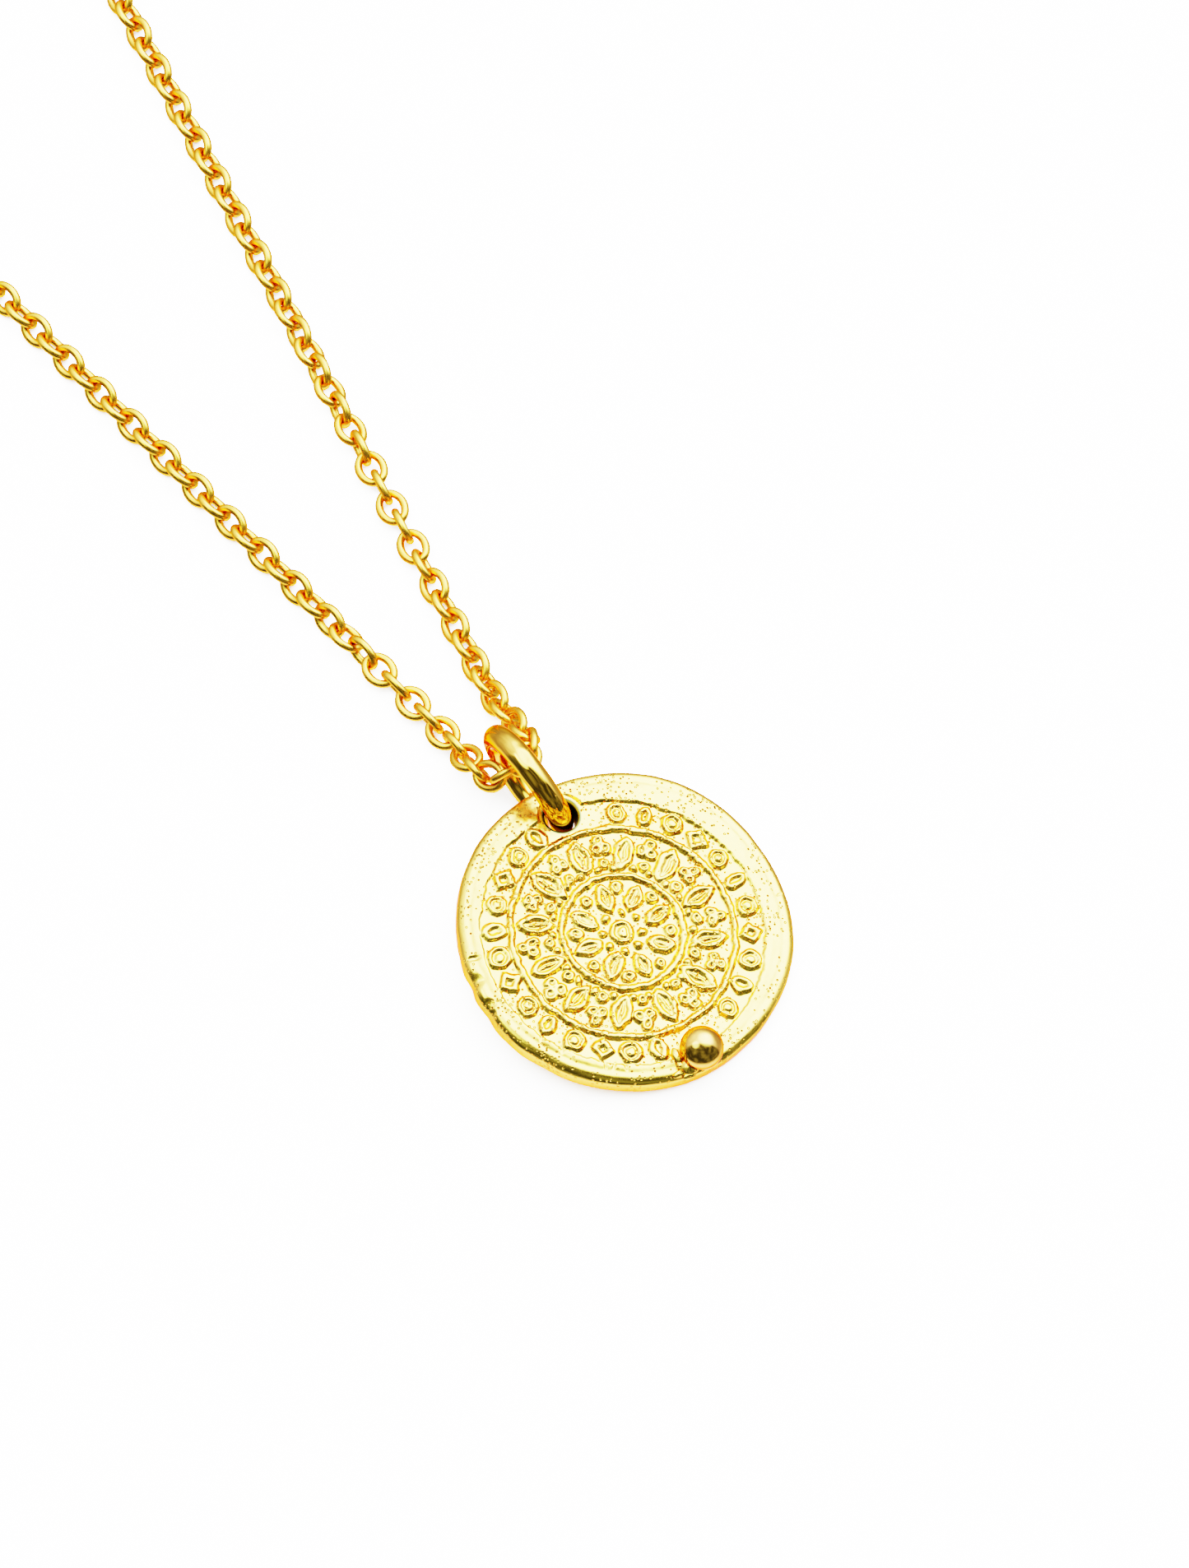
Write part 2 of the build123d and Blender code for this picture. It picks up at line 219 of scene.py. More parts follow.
def buildTable():
    # rolled paint on board: matt and nearly white, so that shadows on it stay soft and clean
    material = bpy.data.materials.new("paintedTable")
    material.use_nodes = True
    tree = material.node_tree
    shader = tree.nodes["Principled BSDF"]
    shader.inputs["Base Color"].default_value = linearColor(table["color"])
    shader.inputs["Specular IOR Level"].default_value = table["specular"]
    place = addNode(tree, "ShaderNodeTexCoord").outputs["Object"]
    grain = addNode(tree, "ShaderNodeTexNoise", {"Scale": table["grainsPerMm"] / mm, "Detail": 3.0},
                    {"Vector": place})
    rough = addNode(tree, "ShaderNodeMapRange", {
        "To Min": table["roughness"][0], "To Max": table["roughness"][1]}, {"Value": grain.outputs[0]})
    tree.links.new(rough.outputs[0], shader.inputs["Roughness"])
    half = table["side"] / 2
    corners = [(x * half, y * half, -table["drop"]) for x, y in ((-1, -1), (1, -1), (1, 1), (-1, 1))]
    floor = newPiece("table_top", corners, [(0, 1, 2, 3)], material)
    floor.visible_glossy = False
    lamp = addObject("table_lamp", bpy.data.lights.new("table_lamp", "AREA"))
    lamp.data.size = table["lampSide"]
    lamp.data.energy = table["lampWatts"]
    lamp.location = table["lampPlace"]
    lamp.visible_glossy = False


buildTable()
view = bpy.context.scene.view_settings
view.view_transform = "Filmic"
view.look = "Very High Contrast"
print("studio and table built")


# gold plating over brass: one recipe, with a tone and a finish for each way that the metal under it was
# worked, and a darker, greener tone for the hole's wall that is painted shade; grain, pitSpacing, swell and
# pitDepth are in mm, and pitSize is a share of the spacing. A real casting's grain is too fine to show here,
# so it is drawn as coarse as it needs to show

finishes = dict(
    # cast and barely polished: a rough satin full of small pits, which breaks every light into grains
    castFace=dict(tone="#F8C768", edge="#E88C88", roughness=(0.17, 0.28), grain=0.50, swell=0.012,
                  pitSpacing=0.17, pitSize=0.38, pitDepth=0.15, pitShare=0.95),
    # cast and buffed: a soft mirror that shows the dark room with a blurred edge
    castBall=dict(tone="#E9B266", edge="#E88C80", roughness=(0.10, 0.17), grain=0.90, swell=0.003,
                  pitSpacing=0.60, pitSize=0.07, pitDepth=0.006, pitShare=0.4),
    # thick drawn wire, polished: clear narrow lights along the bend
    ringWire=dict(tone="#E9B05A", edge="#E8A078", roughness=(0.06, 0.14), grain=0.80, swell=0.004,
                  pitSpacing=0.55, pitSize=0.08, pitDepth=0.008, pitShare=0.5),
    # thin drawn wire, tumbled as a chain: an even satin with broad soft lights
    chainWire=dict(tone="#F4B656", edge="#E8A078", roughness=(0.22, 0.32), grain=0.35, swell=0.002,
                   pitSpacing=0.40, pitSize=0.06, pitDepth=0.003, pitShare=0.3),
    # drilled wall of the hole: a dull, greenish, dark tone that is painted shade for the inside of the hole,
    # and also offsets the red of light bouncing between the gold walls
    holeWallShade=dict(tone="#7C8A5C", edge="#80805C", roughness=(0.25, 0.40), grain=0.30, swell=0.004,
                  pitSpacing=0.20, pitSize=0.20, pitDepth=0.010, pitShare=0.5))
grainRange = (0.35, 0.65)  # where most of a noise's values lie
pitFloor = 0.4  # share of a pit that is flat
pitClusters = dict(perMm=0.45, range=(0.34, 0.66))


def goldPlating(name, finish):
    material = bpy.data.materials.new(name)
    material.use_nodes = True
    tree = material.node_tree
    shader = tree.nodes["Principled BSDF"]
    shader.inputs["Base Color"].default_value = linearColor(finish["tone"])
    shader.inputs["Metallic"].default_value = 1.0
    shader.inputs["Specular Tint"].default_value = linearColor(finish["edge"])
    place = addNode(tree, "ShaderNodeTexCoord").outputs["Object"]
    grain = addNode(tree, "ShaderNodeTexNoise", {"Scale": 1 / (finish["grain"] * mm), "Detail": 3.0},
                    {"Vector": place})
    rough = addNode(tree, "ShaderNodeMapRange", {
        "From Min": grainRange[0], "From Max": grainRange[1], "To Min": finish["roughness"][0],
        "To Max": finish["roughness"][1]}, {"Value": grain.outputs[0]})
    tree.links.new(rough.outputs[0], shader.inputs["Roughness"])
    # one pit to a cell, in the cells whose own chance falls under the cluster's share
    cells = addNode(tree, "ShaderNodeTexVoronoi", {"Scale": 1 / (finish["pitSpacing"] * mm)},
                    {"Vector": place})
    dip = addNode(tree, "ShaderNodeMapRange", {
        "interpolation_type": "SMOOTHSTEP", "From Min": finish["pitSize"] * pitFloor,
        "From Max": finish["pitSize"], "To Min": -finish["pitDepth"], "To Max": 0.0},
        {"Value": cells.outputs["Distance"]})
    chance = addNode(tree, "ShaderNodeSeparateColor", None, {0: cells.outputs["Color"]})
    clusters = addNode(tree, "ShaderNodeTexNoise", {"Scale": pitClusters["perMm"] / mm, "Detail": 1.0},
                       {"Vector": place})
    share = addNode(tree, "ShaderNodeMapRange", {
        "From Min": pitClusters["range"][0], "From Max": pitClusters["range"][1],
        "To Min": 0.0, "To Max": finish["pitShare"]}, {"Value": clusters.outputs[0]})
    chosen = addNode(tree, "ShaderNodeMath", {"operation": "LESS_THAN"},
                     {0: chance.outputs[0], 1: share.outputs[0]})
    pits = addNode(tree, "ShaderNodeMath", {"operation": "MULTIPLY"},
                   {0: dip.outputs[0], 1: chosen.outputs[0]})
    swell = addNode(tree, "ShaderNodeMath", {"operation": "MULTIPLY", 1: finish["swell"]},
                    {0: grain.outputs[0]})
    height = addNode(tree, "ShaderNodeMath", {"operation": "ADD"}, {0: pits.outputs[0], 1: swell.outputs[0]})
    bump = addNode(tree, "ShaderNodeBump", {"Strength": 1.0, "Distance": mm}, {"Height": height.outputs[0]})
    tree.links.new(bump.outputs[0], shader.inputs["Normal"])
    return material


goldCastFace = goldPlating("goldPlatingOverCastDisc", finishes["castFace"])
goldCastBall = goldPlating("goldPlatingOverBall", finishes["castBall"])
# the hole's wall takes a darker, greener tone that is painted shade, not a finish of the metal
goldHoleWallPaintedShade = goldPlating("holeShadePaintedPlating", finishes["holeWallShade"])
goldRingWire = goldPlating("goldPlatingOverRingWire", finishes["ringWire"])
goldChainWire = goldPlating("goldPlatingOverChainWire", finishes["chainWire"])
print("gold finishes mixed")


# disc: a hand-cast blank with raised work and a soldered ball, in mm; the face is a grid of cells each way,
# whose ragged edge lies within raggedEdge of the hole and is looked for within loopSearch, and what lies
# more than wallMargin inside the hole's edge is its wall

disc = dict(
    centre=(-0.85, -107.025, 1.7660), turn=-4.0, leanAzimuth=-58.5, tilt=9.27, diameter=15.0, thickness=1.25,
    edgeRound=0.40, holeDiameter=1.50, holeRound=0.15, holeFromRim=1.58,
    cells=264, raggedEdge=0.10, loopSearch=0.30, wallMargin=0.01,
    outlineShares=(0.994, 1.013, 1.013, 1.0, 1.004, 0.995, 0.998, 1.006, 0.999, 0.996, 0.992, 1.005))
relief = dict(
    height=0.18, edge=0.15, shift=(-0.28, -0.20), clearance=0.15, holeFade=0.05, lineWidth=0.26,
    borderWidth=1.05, borderRise=0.65, borderFall=0.68, borderEdge=(0.19, 0.07),
    beltWidth=1.45, beltMarks=28, beltBead=0.92, bud=(1.05, 0.72), lozenge=1.05,
    fieldWidth=2.30, fieldLeaves=12, leaf=(1.70, 0.90), bead=0.50,
    petals=8, petal=(1.35, 0.80), boss=1.10, seed=0.30, seedOffLine=0.16, seedOffBoss=0.38)
# a form's own parts: walls and grooves in mm, the rest as shares of the form's size and height
carving = dict(
    wall=0.23, hollow=0.75, rib=0.12, ribLength=0.30, ribHeight=0.85,
    dimple=dict(radius=0.20, depth=0.60), groove=dict(radius=0.27, half=0.05, depth=0.75))
# how far the hand and the casting stray: waves are (size, reach, seed), and a mark's turn is in degrees and
# its span, past which its form is flat, is a share of its reach and some more
casting = dict(
    bends=((1.6, 0.075, (11, 12)), (0.45, 0.030, (13, 14))), swells=((4.2, 0.016, 3), (0.9, 0.008, 4)),
    rim=(1.7, 0.016, 8), lump=(1.6, 0.10, 30), faceRise=0.30,
    marks=dict(seed=5, turn=11, slip=0.05, size=(0.94, 1.12), height=(0.85, 1.05), span=(1.3, 0.3)))
# wear on the rim: dents as (degrees round the disc, depth, spread), which press in the outer tenth of the
# disc, and nicks as (x, y, length, width, turn, depth), which fade out down the rim
rimDents = ((175, 0.10, 0.42), (187, 0.09, 0.50), (212, 0.05, 0.60))
rimNicks = (
    (-6.84, 1.56, 0.50, 0.22, -19, 0.07), (-7.25, 0.62, 0.66, 0.46, -55, 0.10),
    (-7.32, -0.62, 0.56, 0.44, -25, 0.10), (-7.38, -1.05, 0.40, 0.30, 20, 0.08),
    (7.02, 0.31, 0.20, 0.10, 60, 0.05), (6.95, -1.6, 0.24, 0.10, 10, 0.05),
    (6.43, -2.5, 0.20, 0.10, 80, 0.05), (1.36, 7.02, 0.20, 0.09, 70, 0.05),
    (2.44, 6.68, 0.22, 0.10, 50, 0.05), (-6.00, -3.05, 0.40, 0.12, 65, 0.06),
    (-5.45, -3.90, 0.36, 0.12, 75, 0.06), (-4.10, -5.45, 0.36, 0.12, 70, 0.06),
    (-3.75, -5.60, 0.40, 0.12, 40, 0.06), (-3.30, -5.85, 0.34, 0.12, 85, 0.06))
dentFade = (0.90, 1.0)  # shares of the radius
nickFade = (-0.1, 0.6)  # heights on the rim
nickFall = 0.8  # flat in the middle of a nick and steep at its sides
ball = dict(diameter=1.94, fromRim=0.74, direction=-91.0, sink=0.14, sides=(40, 22))
# solder about the ball, as (aside, along, up, half width, half length, half height)
solder = (
    (0.02, -0.02, 0.04, 0.76, 0.70, 0.34), (-0.62, -0.30, 0.04, 0.46, 0.40, 0.30),
    (-0.92, 0.30, 0.03, 0.22, 0.46, 0.26), (-0.95, -0.10, 0.00, 0.24, 0.34, 0.20),
    (-1.16, -0.40, -0.02, 0.36, 0.18, 0.18), (-0.80, -0.62, -0.06, 0.34, 0.20, 0.20),
    (0.30, 0.40, 0.02, 0.42, 0.34, 0.20))

discRadius = disc["diameter"] / 2
discAxes = (Matrix.Rotation(math.radians(disc["tilt"]), 3, heading(disc["leanAzimuth"] + 90))
            @ Matrix.Rotation(math.radians(disc["turn"]), 3, "Z"))
holePlace = np.array([0, discRadius - disc["holeFromRim"]])
holeEdge = disc["holeDiameter"] / 2 + disc["holeRound"]  # where the face turns down into the hole
ballPlace = heading(ball["direction"]) * (discRadius - ball["fromRim"])


def outlineRadius(angle):
    # smooth closed curve through the outline's shares, a wave for each count of lobes
    shares = np.array(disc["outlineShares"])
    lobes = np.fft.rfft(shares) / len(shares)
    radius = np.full(angle.shape, lobes[0].real)
    for count, lobe in enumerate(lobes[1:], 1):
        weight = 1 if 2 * count == len(shares) else 2
        radius += weight * (lobe.real * np.cos(count * angle) - lobe.imag * np.sin(count * angle))
    return radius * discRadius


def roundGrid(cells):
    # a square grid laid onto the unit disc, so that its cells stay even from middle to edge
    g = np.linspace(-1, 1, cells + 1)
    a, b = np.meshgrid(g, g, indexing="ij")
    across = np.abs(a) > np.abs(b)
    radius = np.where(across, a, b)
    safe = np.where(radius == 0, 1, radius)
    angle = np.where(across, math.pi / 4 * b / safe, math.pi / 2 - math.pi / 4 * a / safe)
    return np.stack([radius * np.cos(angle), radius * np.sin(angle)], -1).reshape(-1, 2)


def raised(distance):
    # 1 on a form and 0 off it, with a soft cast edge between
    return 1 - smoothStep(-relief["edge"] / 2, relief["edge"] / 2, distance)


def hollowed(distance):
    # a form with a raised wall round a sunk middle
    return raised(distance) * (1 - carving["hollow"] * raised(distance + carving["wall"]))


def leafForm(p, size, ribbed):
    # two arcs that meet in points
    half, wide = size[0] / 2, size[1] / 2
    bow = (half * half + wide * wide) / (2 * wide)
    form = hollowed(np.hypot(p[:, 0], np.abs(p[:, 1]) + bow - wide) - bow)
    if ribbed:
        offRib = np.abs(p[:, 1]) - carving["rib"] / 2
        pastRib = np.abs(p[:, 0]) - carving["ribLength"] * size[0]
        form = np.maximum(form, carving["ribHeight"] * raised(np.maximum(offRib, pastRib)))
    return form


def seedForm(p, size):
    return raised(np.hypot(p[:, 0], p[:, 1]) - size / 2)


def beadForm(p, size):
    dimple = carving["dimple"]
    fromMiddle = np.hypot(p[:, 0], p[:, 1])
    inDimple = raised(fromMiddle - size * dimple["radius"])
    return raised(fromMiddle - size / 2) * (1 - dimple["depth"] * inDimple)


def bossForm(p, size):
    groove = carving["groove"]
    fromMiddle = np.hypot(p[:, 0], p[:, 1])
    offGroove = np.abs(fromMiddle - size * groove["radius"]) - groove["half"]
    return raised(fromMiddle - size / 2) * (1 - groove["depth"] * raised(offGroove))


def lozengeForm(p, size):
    return hollowed((np.abs(p[:, 0]) + np.abs(p[:, 1]) - size / 2) / math.sqrt(2))


def trefoilForm(p, size):
    spots = [heading(120 * i) * size / 2 for i in range(3)]
    return np.max([beadForm(p - np.array(spot.xy), size) for spot in spots], axis=0)


def designMarks():
    # every mark as (form, middle, facing, reach), placed as the solid's are, and the round lines' radii
    border = discRadius - relief["borderWidth"]
    belt = border - relief["beltWidth"]
    rosette = belt - relief["fieldWidth"]
    field = (belt + rosette) / 2
    beltMiddle = (border + belt) / 2
    inset = relief["lineWidth"] / 2 + relief["clearance"]
    beadSize, leaves, petals = relief["bead"], relief["fieldLeaves"], relief["petals"]
    budReach, leafReach, petalReach = (relief[name][0] / 2 for name in ("bud", "leaf", "petal"))
    bead = partial(beadForm, size=beadSize)
    seed = partial(seedForm, size=relief["seed"])
    leaf = partial(leafForm, size=relief["leaf"], ribbed=True)
    petal = partial(leafForm, size=relief["petal"], ribbed=True)
    bud = partial(leafForm, size=relief["bud"], ribbed=False)
    beltBead = partial(bossForm, size=relief["beltBead"])
    beltForms = (bud, beltBead, partial(lozengeForm, size=relief["lozenge"]), beltBead)
    seedLine = rosette + inset + relief["seedOffLine"]
    perForm = relief["beltMarks"] // len(beltForms)
    # a row is (form, radius, count, first angle, reach)
    rows = [(form, beltMiddle, perForm, 360 * place / relief["beltMarks"], budReach)
            for place, form in enumerate(beltForms)]
    rows += [
        (leaf, field, leaves, 0, leafReach),
        (partial(trefoilForm, size=beadSize), belt - inset - beadSize, leaves, 180 / leaves, beadSize),
        (bead, field - beadSize, leaves, 180 / leaves, beadSize),
        (seed, seedLine, leaves, 90 / leaves, relief["seed"]),
        (seed, seedLine, leaves, 270 / leaves, relief["seed"]),
        (petal, rosette - inset - petalReach, petals, 0, petalReach),
        (bead, rosette - inset - beadSize / 2, petals, 180 / petals, beadSize),
        (seed, relief["boss"] / 2 + relief["seedOffBoss"], petals, 180 / petals, relief["seed"])]
    hole, shift = Vector((*holePlace, 0)), Vector((*relief["shift"], 0))
    marks = []
    for form, radius, count, start, reach in rows:
        for number in range(count):
            angle = start + 360 * number / count
            spot = shift + heading(angle) * radius
            offHole = (spot - hole).length - disc["holeDiameter"] / 2
            offBall = (spot - ballPlace).length - ball["diameter"] / 2
            if min(offHole, offBall) > reach + relief["clearance"]:
                marks.append((form, (spot.x, spot.y), angle, reach))
    marks.append((partial(bossForm, size=relief["boss"]), relief["shift"], 0, relief["boss"] / 2))
    return marks, (border, belt, rosette)


def raisedWork(flat, fromEdge):
    # how far each point of the face is raised, with the uneven edges of a casting
    warped = flat.copy()
    for size, reach, seeds in casting["bends"]:
        warped += reach * np.stack([waves(flat, size, seed) for seed in seeds], -1)
    marks, (border, *lines) = designMarks()
    fromMiddle = np.hypot(*(warped - np.array(relief["shift"])).T)
    # the border is one band, highest at its inner edge and falling off to the rim
    low, high = (border - inside for inside in relief["borderEdge"])
    level = (relief["borderRise"] * smoothStep(low, high, fromMiddle)
             * np.clip(fromEdge / relief["borderFall"], 0, 1))
    for radius in lines:
        level = np.maximum(level, raised(np.abs(fromMiddle - radius) - relief["lineWidth"] / 2))
    stray = casting["marks"]
    share, more = stray["span"]
    rng = np.random.default_rng(stray["seed"])
    for form, middle, facing, reach in marks:
        tilt = math.radians(facing + rng.uniform(-stray["turn"], stray["turn"]))
        slip = rng.uniform(-stray["slip"], stray["slip"], 2)
        offset = (warped - np.array(middle) - slip) / rng.uniform(*stray["size"])
        near = np.hypot(*offset.T) < reach * share + more
        turned = np.array([[math.cos(tilt), -math.sin(tilt)], [math.sin(tilt), math.cos(tilt)]])
        level[near] = np.maximum(level[near], form(offset[near] @ turned) * rng.uniform(*stray["height"]))
    # the work stops short of the hole
    fromHole = np.hypot(*(flat - holePlace).T)
    plain = holeEdge + relief["clearance"]
    return level * smoothStep(plain - relief["holeFade"], plain + relief["holeFade"], fromHole)


def nickDepth(flat):
    depths = np.zeros(len(flat))
    for x, y, length, width, turned, depth in rimNicks:
        along = heading(turned)
        away = flat - np.array([x, y])
        endward = away @ np.array(along.xy) / (length / 2)
        sideward = away @ np.array([-along.y, along.x]) / (width / 2)
        depths += depth * np.exp(-nickFall * (endward ** 2 + sideward ** 2) ** 2)
    return depths


def faceHeights(flat, fromEdge):
    # height of the face above the disc's middle plane
    height = relief["height"] * raisedWork(flat, fromEdge)
    for size, reach, seed in casting["swells"]:
        height += reach * waves(flat, size, seed)
    return disc["thickness"] / 2 + height * smoothStep(0.0, casting["faceRise"], fromEdge) - nickDepth(flat)


def rimDent(angle):
    dent = np.zeros(len(angle))
    for degrees, depth, spread in rimDents:
        dent += depth * np.exp(-(turnFrom(angle, degrees) * discRadius / spread) ** 2)
    return dent


def edgeSteps(edgeRound):
    # (outwards, height) down a wall that is rounded at both ends, a step for each 15 degrees
    half = disc["thickness"] / 2
    upper = [(edgeRound * math.sin(a), half - edgeRound * (1 - math.cos(a)))
             for a in np.radians(range(15, 91, 15))]
    return upper + [(out, -height) for out, height in upper[::-1]] + [(0, -half)]


def openLoop(faces, isEdge):
    # the vertices round an opening in order, from the edges that only one face has
    sides = {(a, b) for face in faces for a, b in zip(face, np.roll(face, -1))}
    following = {b: a for a, b in sides if (b, a) not in sides and isEdge[a] and isEdge[b]}
    loop = [next(iter(following))]
    while following[loop[-1]] != loop[0]:
        loop.append(following[loop[-1]])
    return np.array(loop)


def wallBetween(upper, lower):
    return np.stack([upper, np.roll(upper, -1), np.roll(lower, -1), lower], -1)


def discShell():
    # vertices in the disc's own millimetres, quads, and the two loops that bound its plain back
    unit = roundGrid(disc["cells"])
    angle = np.arctan2(unit[:, 1], unit[:, 0])
    dent = rimDent(angle) * smoothStep(*dentFade, np.hypot(*unit.T))
    flat = unit * (outlineRadius(angle) - disc["edgeRound"])[:, None] - unit * dent[:, None]
    index = np.arange(len(flat)).reshape(disc["cells"] + 1, -1)
    quads = np.stack([index[:-1, :-1], index[1:, :-1], index[1:, 1:], index[:-1, 1:]], -1).reshape(-1, 4)
    # the grid is opened round the hole, and its ragged edge there is drawn onto a circle
    fromHole = np.hypot(*(flat - holePlace).T)
    quads = quads[(fromHole[quads] > holeEdge).all(1)]
    nearHole = quads[(fromHole[quads] < holeEdge + disc["loopSearch"]).all(1)]
    holeLoop = openLoop(nearHole, fromHole < holeEdge + disc["raggedEdge"])
    flat[holeLoop] = holePlace + (flat[holeLoop] - holePlace) / fromHole[holeLoop][:, None] * holeEdge
    height = faceHeights(flat, (1 - np.hypot(*unit.T)) * discRadius)
    rimLoop = np.concatenate([index[:-1, 0], index[-1, :-1], index[:0:-1, -1], index[0, :0:-1]])
    vertices, faces, total = [np.column_stack([flat, height])], [quads], len(flat)
    backLoops = []
    outward = np.column_stack([np.cos(angle[rimLoop]), np.sin(angle[rimLoop])])
    inward = (holePlace - flat[holeLoop]) / holeEdge
    size, rimReach, seed = casting["rim"]
    # the rim is as uneven as the casting left it, and the drilled wall of the hole is true
    for loop, way, edgeRound, reach in (
            (rimLoop, outward, disc["edgeRound"], rimReach), (holeLoop, inward, disc["holeRound"], 0)):
        upper = loop
        for out, level in edgeSteps(edgeRound):
            rough = reach * waves(np.column_stack([flat[loop], np.full(len(loop), level)]), size, seed)
            ring = flat[loop] + way * (out + rough * (out / edgeRound))[:, None]
            worn = nickDepth(ring) * smoothStep(*nickFade, level)
            vertices.append(np.column_stack([ring, level - worn]))
            lower = np.arange(total, total + len(loop))
            total += len(loop)
            wall = wallBetween(upper, lower)
            faces.append(wall if loop is holeLoop else wall[:, ::-1])
            upper = lower
        backLoops.append(upper)
    return np.concatenate(vertices), faces, backLoops


def buildDisc():
    faceSlot, ballSlot, holeShadeSlot = range(3)
    points, faces, backLoops = discShell()
    placed = Matrix.Translation(Vector(disc["centre"]) * mm) @ discAxes.to_4x4()
    mesh = bmesh.new()
    made = [mesh.verts.new(placed @ (Vector(point) * mm)) for point in points]
    for face in np.concatenate(faces):
        # faces inside the hole take the painted shade of its wall
        inHole = np.hypot(*(points[face, :2].mean(0) - holePlace)) < holeEdge - disc["wallMargin"]
        mesh.faces.new([made[i] for i in face]).material_index = holeShadeSlot if inHole else faceSlot
    # the plain back is flat from the rim's loop to the hole's
    edges = [mesh.edges.get((made[a], made[b]))
             for loop in backLoops for a, b in zip(loop, np.roll(loop, -1))]
    bmesh.ops.triangle_fill(mesh, edges=edges, use_beauty=False)
    bmesh.ops.delete(mesh, geom=[v for v in mesh.verts if not v.link_faces], context="VERTS")
    bmesh.ops.recalc_face_normals(mesh, faces=mesh.faces)
    # the ball is round, and each lump of solder is uneven in its own way
    half, ballRadius = disc["thickness"] / 2, ball["diameter"] / 2
    size, lumpReach, seed = casting["lump"]
    lumps = [((0, 0, ballRadius - ball["sink"]), (ballRadius,) * 3, ballSlot, 0)]
    lumps += [(lump[:3], lump[3:], faceSlot, lumpReach) for lump in solder]
    for number, (offset, radii, slot, reach) in enumerate(lumps):
        before = len(mesh.faces)
        place = ballPlace + Vector(offset) + Vector((0, 0, half))
        grown = bmesh.ops.create_uvsphere(
            mesh, u_segments=ball["sides"][0], v_segments=ball["sides"][1], radius=1)["verts"]
        spots = np.array([v.co for v in grown])
        uneven = 1 + reach * waves(spots, size, seed + number)
        for vertex, spot, grow in zip(grown, spots, uneven):
            vertex.co = placed @ ((Vector(spot * radii * grow) + place) * mm)
        mesh.faces.ensure_lookup_table()
        for face in mesh.faces[before:]:
            face.material_index = slot
    for face in mesh.faces:
        face.smooth = True
    data = bpy.data.meshes.new("cast_disc")
    mesh.to_mesh(data)
    mesh.free()
    for material in (goldCastFace, goldCastBall, goldHoleWallPaintedShade):  # in the order of the slots
        data.materials.append(material)
    piece = addObject("cast_disc", data)
    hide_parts("pendant_disc")
    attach(piece, "root")
    print("disc:", len(data.polygons), "faces")


buildDisc()


# jump ring: thick wire bent round and closed, in mm, with the small flats that pliers leave, each as
# (degrees round the ring, degrees round the wire, depth, spread)

ring = dict(
    centre=(-0.5451, -98.8952, 2.9316), axisAzimuth=3.15, lean=8.0, radius=2.40, wire=1.11, steps=(224, 40),
    wave=(1.6, 0.010, 21),
    flats=((93, 12, 0.07, 0.20), (98, 2, 0.05, 0.16), (81, 25, 0.03, 0.25), (66, 350, 0.02, 0.4),
           (112, 330, 0.025, 0.3)))


def buildRing():
    axis = heading(ring["axisAzimuth"], ring["lean"])
    along = heading(ring["axisAzimuth"] + 90)
    across = axis.cross(along)
    wire = ring["wire"] / 2
    a, b = (np.arange(count) * 2 * math.pi / count for count in ring["steps"])
    a, b = np.meshgrid(a, b, indexing="ij")  # angles round the ring and round its wire
    thick = np.full(a.shape, wire)
    for atTurn, atSide, depth, spread in ring["flats"]:
        gap = np.hypot(turnFrom(a, atTurn) * ring["radius"], turnFrom(b, atSide) * wire)
        thick -= depth * np.exp(-(gap / spread) ** 2)
    radial = np.cos(a)[..., None] * np.array(along) + np.sin(a)[..., None] * np.array(across)
    points = (radial * (ring["radius"] + thick * np.cos(b))[..., None]
              + np.array(axis) * (thick * np.sin(b))[..., None]).reshape(-1, 3)
    normals = (radial * np.cos(b)[..., None] + np.array(axis) * np.sin(b)[..., None]).reshape(-1, 3)
    size, reach, seed = ring["wave"]
    points = points + normals * (reach * waves(points, size, seed))[:, None]
    index = np.arange(len(points)).reshape(a.shape)
    nextA, nextB = np.roll(index, -1, 0), np.roll(index, -1, 1)
    faces = np.stack([index, nextA, np.roll(nextA, -1, 1), nextB], -1).reshape(-1, 4)
    middle = Vector(ring["centre"]) * mm
    piece = newPiece("bent_jump_ring", (points + np.array(ring["centre"])) * mm, faces, goldRingWire)
    if sum(face.normal.dot(face.center - middle) for face in piece.data.polygons) < 0:
        piece.data.flip_normals()
    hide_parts("jump_ring")
    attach(piece, "root")
    print("jump ring:", len(faces), "faces")


buildRing()


# chain: oval links of round wire, in mm, laid by Geometry Nodes; rolls and play are in degrees, the sides
# are counted along a link and about its wire, and each far route is a few places that its strand follows

link = dict(length=1.92, width=1.50, wire=0.38, pitch=1.15, nearSides=(32, 10), farSides=(16, 6),
            firstRoll=45, play=6, seed=7)
farRoutes = dict(
    left=((-13.95, -7.525, 0.60), (-19.45, 33.975, 0.60), (-23.05, 64.475, 0.60), (-23.75, 83.975, 0.60),
          (-20.15, 98.475, 0.60), (-12.65, 108.575, 0.60), (-6.50, 111.80, 0.60)),
    right=((13.65, -7.525, 0.60), (19.25, 33.975, 0.60), (22.95, 64.475, 0.60), (23.75, 83.975, 0.60),
           (20.25, 98.475, 0.60), (13.15, 108.375, 0.75), (3.70, 112.26, 1.50)))
routeCurve = dict(order=3, resolution=24)
weldWithin = 1e-7  # metres
linkSockets = {
    "Link length": "NodeSocketFloat", "Link width": "NodeSocketFloat", "Wire": "NodeSocketFloat",
    "Sides along": "NodeSocketInt", "Sides about": "NodeSocketInt"}
followSockets = {
    "Links": "NodeSocketInt", "First roll": "NodeSocketFloat", "Play": "NodeSocketFloat",
    "Seed": "NodeSocketInt"}


def linkValues(sides):
    # what every tree of links is given, in metres
    return {"Link length": link["length"] * mm, "Link width": link["width"] * mm, "Wire": link["wire"] * mm,
            "Sides along": sides[0], "Sides about": sides[1]}


